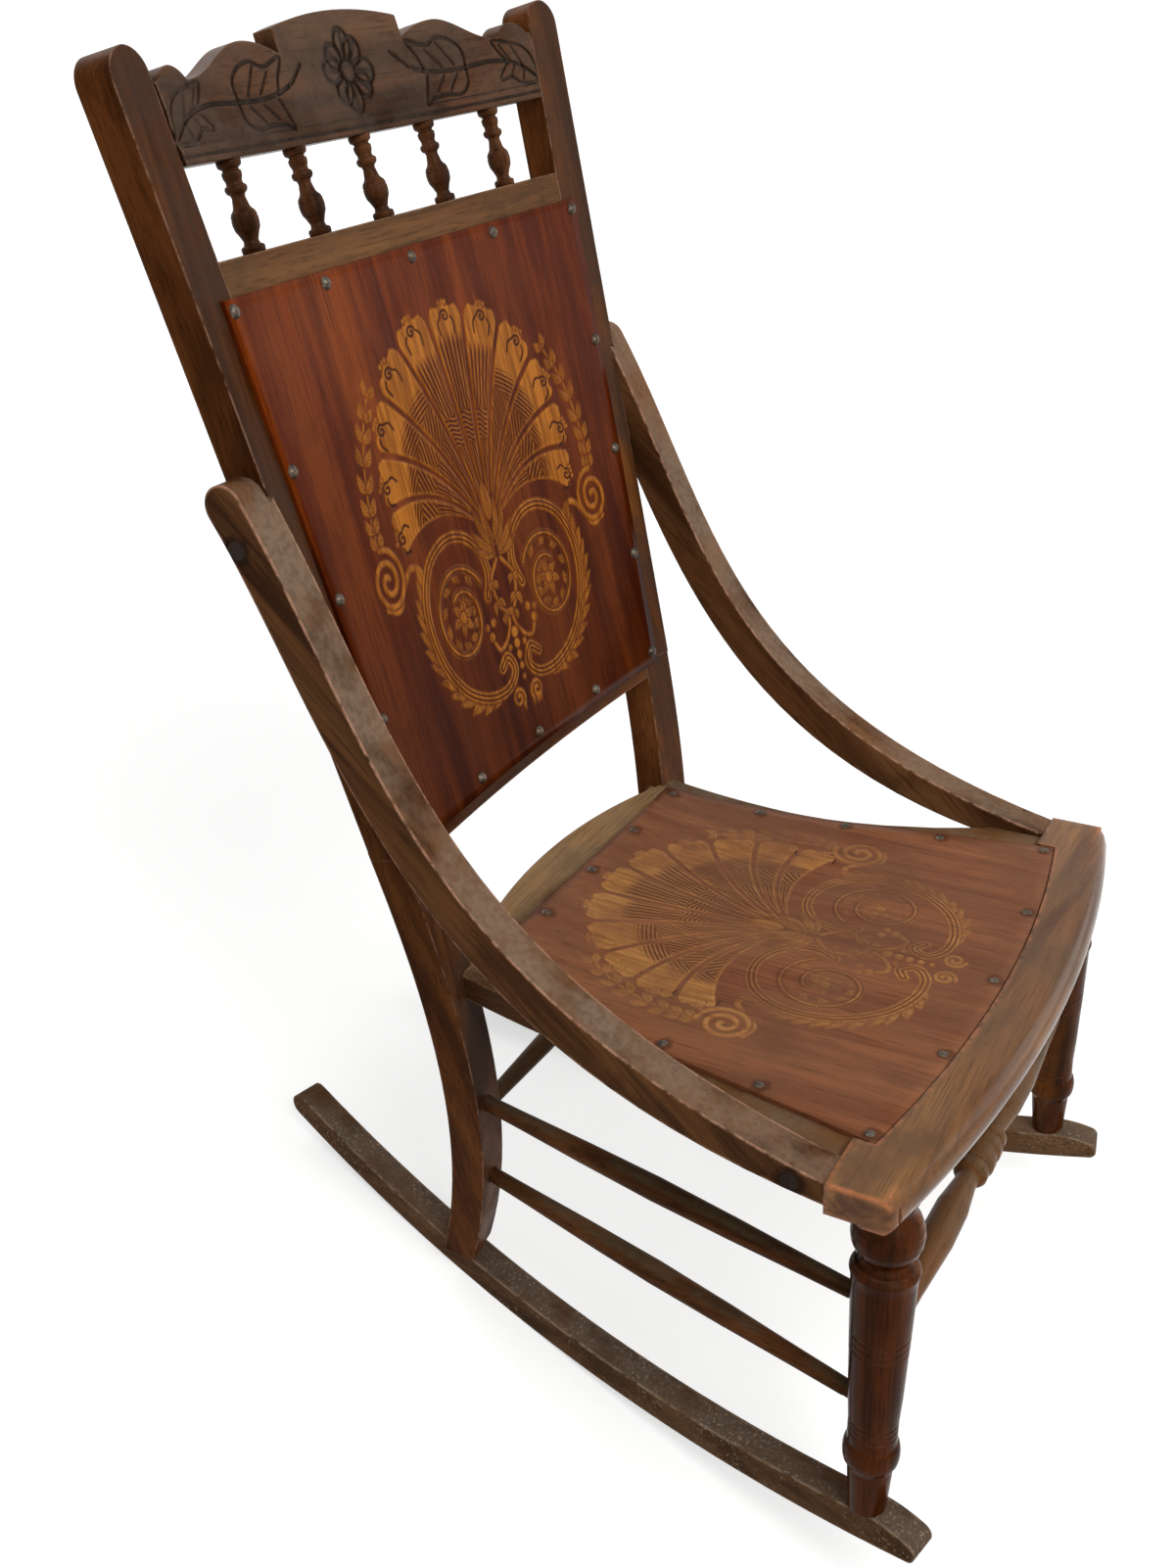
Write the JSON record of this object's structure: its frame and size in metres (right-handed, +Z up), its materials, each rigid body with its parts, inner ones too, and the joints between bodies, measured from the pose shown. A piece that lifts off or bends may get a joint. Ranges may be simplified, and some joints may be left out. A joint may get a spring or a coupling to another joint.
{
  "type": "armed sewing rocker on bow runners",
  "caption": "Wooden rocking chair with bow runners, sloping side arms, turned front legs, carved crest over short spindles, and thin nailed seat and back panels with pressed ornament.",
  "frame": {"origin": "on the floor, at the middle of the chair's box seen from above", "axes": "+X to the sitter's left, +Y to the back, +Z up; the chair stands at rest, leaned back on its runners, and the sitter faces -Y"},
  "size_m": [0.504, 0.7519, 0.8743],
  "materials": {
    "runner_wood": "old oiled hardwood, dusty grey-brown with pale worn edges",
    "arm_wood": "old varnished hardwood, greyed on top with pinkish worn edges",
    "frame_wood": "old dark brown varnish over hardwood, golden where it has worn",
    "turned_wood": "deep red-brown glossy varnish on turned hardwood",
    "front_rail_wood": "golden-brown glossy varnish with swirling grain",
    "back_panel_wood": "thin pressed plywood, glossy red-orange brown with golden raised ornament",
    "seat_panel_wood": "thin pressed plywood, duller red-brown with worn ornament",
    "nail_metal": "domed iron nails with a grey-brown patina",
    "screw_steel": "plain steel screws, out of sight",
    "plug_wood": "dark wooden plugs, nearly black"
  },
  "bodies": {
    "root": {"runner_left": "runner_wood", "runner_right": "runner_wood", "back_post_left": "frame_wood", "back_post_right": "frame_wood", "front_leg_left": "turned_wood", "front_leg_right": "turned_wood", "crest_rail": "frame_wood", "spindle_1": "frame_wood", "spindle_2": "frame_wood", "spindle_3": "frame_wood", "spindle_4": "frame_wood", "spindle_5": "frame_wood", "back_mid_rail": "frame_wood", "back_lower_rail": "frame_wood", "back_panel": "back_panel_wood", "back_panel_nails": "nail_metal", "seat_front_rail": "front_rail_wood", "seat_side_rail_left": "frame_wood", "seat_side_rail_right": "frame_wood", "seat_rear_rail": "frame_wood", "seat_panel": "seat_panel_wood", "seat_panel_nails": "nail_metal", "arm_left": "arm_wood", "arm_right": "arm_wood", "arm_screws": "screw_steel", "arm_plugs": "plug_wood", "front_stretcher": "turned_wood", "rear_stretcher": "turned_wood", "side_stretcher_upper_left": "turned_wood", "side_stretcher_upper_right": "turned_wood", "side_stretcher_lower_left": "turned_wood", "side_stretcher_lower_right": "turned_wood"}
  },
  "joints": []
}
